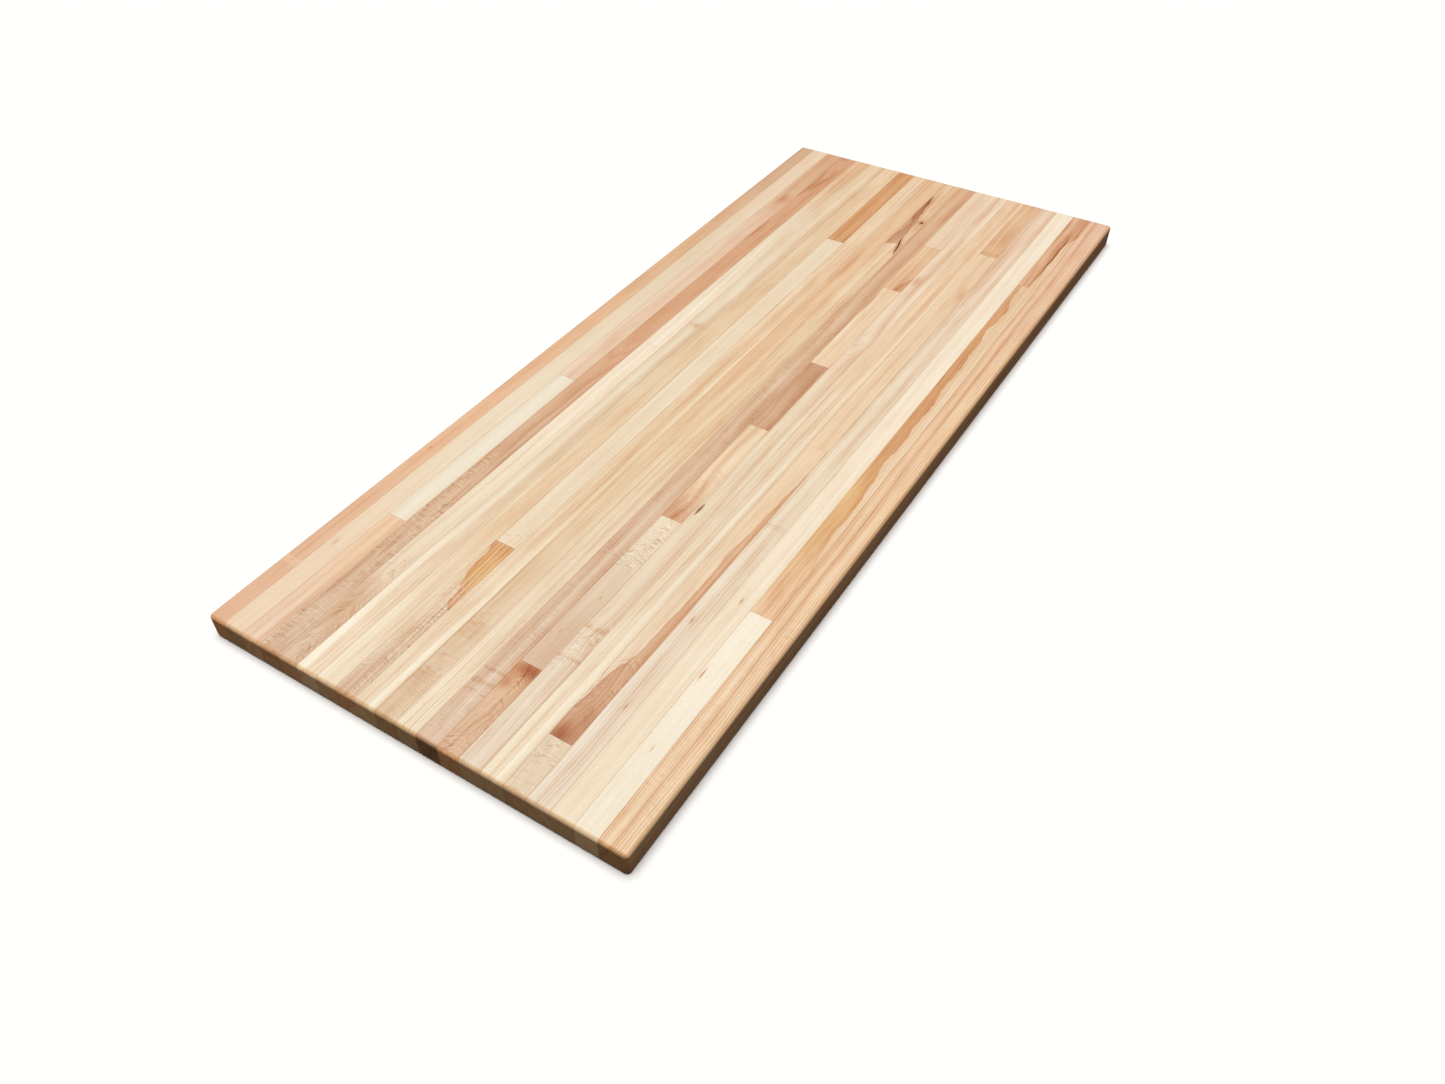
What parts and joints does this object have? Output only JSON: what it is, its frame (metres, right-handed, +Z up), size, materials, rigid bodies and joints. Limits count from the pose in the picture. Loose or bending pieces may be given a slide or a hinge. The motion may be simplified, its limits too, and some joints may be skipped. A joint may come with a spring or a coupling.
{
  "type": "butcher block table top",
  "caption": "Rectangular edge-grain maple butcher block table top, glued up from long staves and shorter butt-jointed planks, with rounded edges and a flat underside.",
  "frame": {"origin": "on the flat underside, below the middle of the slab", "axes": "+X along the staves, +Y across the width from the front edge (stave 1) to the back edge (stave 20), +Z up out of the work surface"},
  "size_m": [1.8288, 0.762, 0.0444],
  "materials": {
    "maple_ivory": "satin",
    "maple_cream": "satin",
    "maple_wheat": "satin",
    "maple_blush": "satin",
    "maple_tan": "satin",
    "maple_rose": "satin",
    "maple_honey": "satin",
    "maple_russet": "satin",
    "maple_amber": "satin"
  },
  "bodies": {
    "root": {"stave_01": "maple_tan", "stave_02_plank_1": "maple_russet", "stave_02_plank_2": "maple_honey", "stave_02_plank_3": "maple_ivory", "stave_03": "maple_cream", "stave_04": "maple_wheat", "stave_05_plank_1": "maple_honey", "stave_05_plank_2": "maple_wheat", "stave_05_plank_3": "maple_tan", "stave_05_plank_4": "maple_blush", "stave_06": "maple_wheat", "stave_07": "maple_wheat", "stave_08_plank_1": "maple_blush", "stave_08_plank_2": "maple_honey", "stave_08_plank_3": "maple_wheat", "stave_08_plank_4": "maple_russet", "stave_08_plank_5": "maple_tan", "stave_08_plank_6": "maple_wheat", "stave_08_plank_7": "maple_honey", "stave_09": "maple_rose", "stave_10": "maple_tan", "stave_11": "maple_tan", "stave_12": "maple_wheat", "stave_13_plank_1": "maple_amber", "stave_13_plank_2": "maple_cream", "stave_13_plank_3": "maple_tan", "stave_14": "maple_wheat", "stave_15": "maple_wheat", "stave_16_plank_1": "maple_wheat", "stave_16_plank_2": "maple_cream", "stave_17": "maple_russet", "stave_18_plank_1": "maple_tan", "stave_18_plank_2": "maple_ivory", "stave_18_plank_3": "maple_blush", "stave_19": "maple_cream", "stave_20": "maple_honey"}
  },
  "joints": []
}
